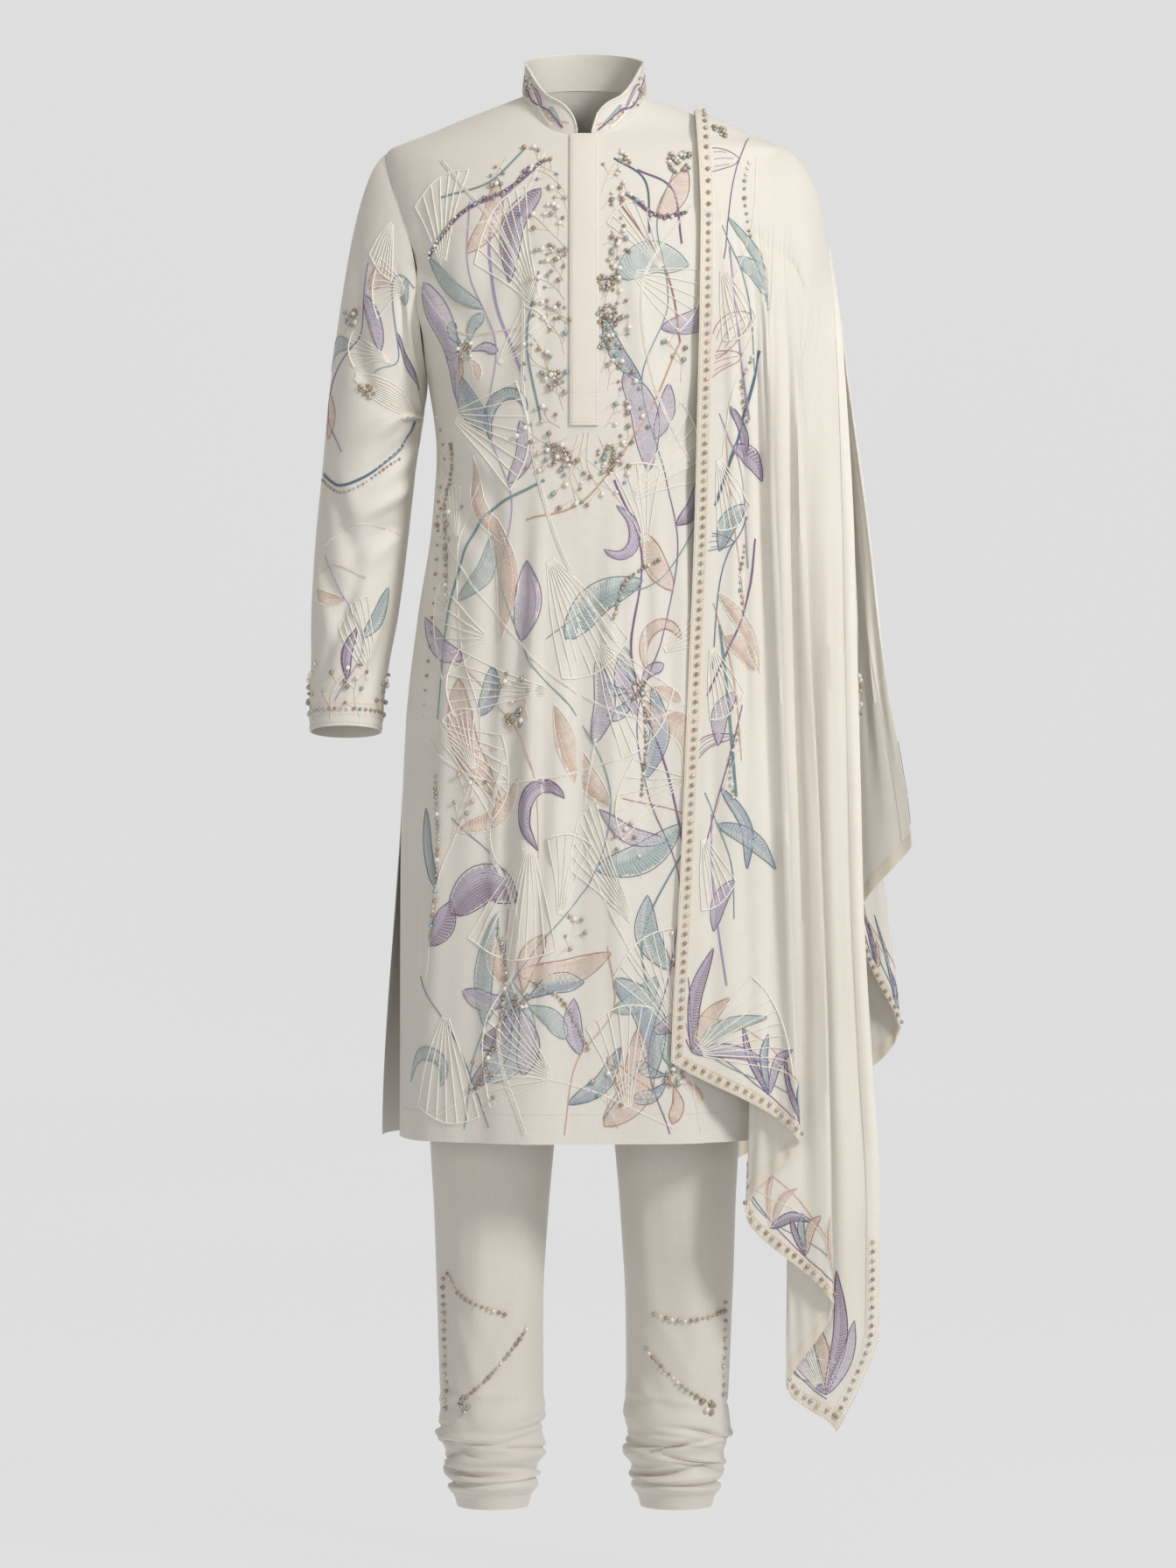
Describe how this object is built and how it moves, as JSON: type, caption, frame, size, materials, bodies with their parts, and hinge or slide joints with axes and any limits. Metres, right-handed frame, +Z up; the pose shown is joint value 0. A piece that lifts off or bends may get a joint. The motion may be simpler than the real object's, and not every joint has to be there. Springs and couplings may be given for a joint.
{
  "type": "churidar suit",
  "caption": "Long band-collar kurta with side slits, churidar trousers gathered at the ankles and a bordered dupatta over the left shoulder, in their worn form.",
  "frame": {"origin": "middle of the neck, level with the top of the shoulder seams, where the wearer's shoulders carry the suit", "axes": "+Z up the wearer's body, -Y to the wearer's front, +X to the wearer's left"},
  "size_m": [0.6215, 0.2969, 1.4992],
  "materials": {
    "kurta_cloth": "ivory silk blend with a soft dull sheen",
    "kurta_trim": "plain ivory cloth of the placket",
    "churidar_cloth": "ivory stretch cotton and silk, smooth",
    "dupatta_cloth": "fine ivory georgette, slightly sheer",
    "dupatta_border": "folded and stitched silk border"
  },
  "bodies": {
    "root": {"kurta_front": "kurta_cloth", "kurta_back": "kurta_cloth", "collar": "kurta_cloth", "placket": "kurta_trim", "sleeve_left": "kurta_cloth", "sleeve_right": "kurta_cloth", "waistband": "churidar_cloth", "churidar_left": "churidar_cloth", "churidar_right": "churidar_cloth", "dupatta_front": "dupatta_cloth", "dupatta_back": "dupatta_cloth", "border_front_inner": "dupatta_border", "border_front_outer": "dupatta_border", "border_front_hem": "dupatta_border", "border_back_inner": "dupatta_border", "border_back_outer": "dupatta_border", "border_back_hem": "dupatta_border"}
  },
  "joints": []
}
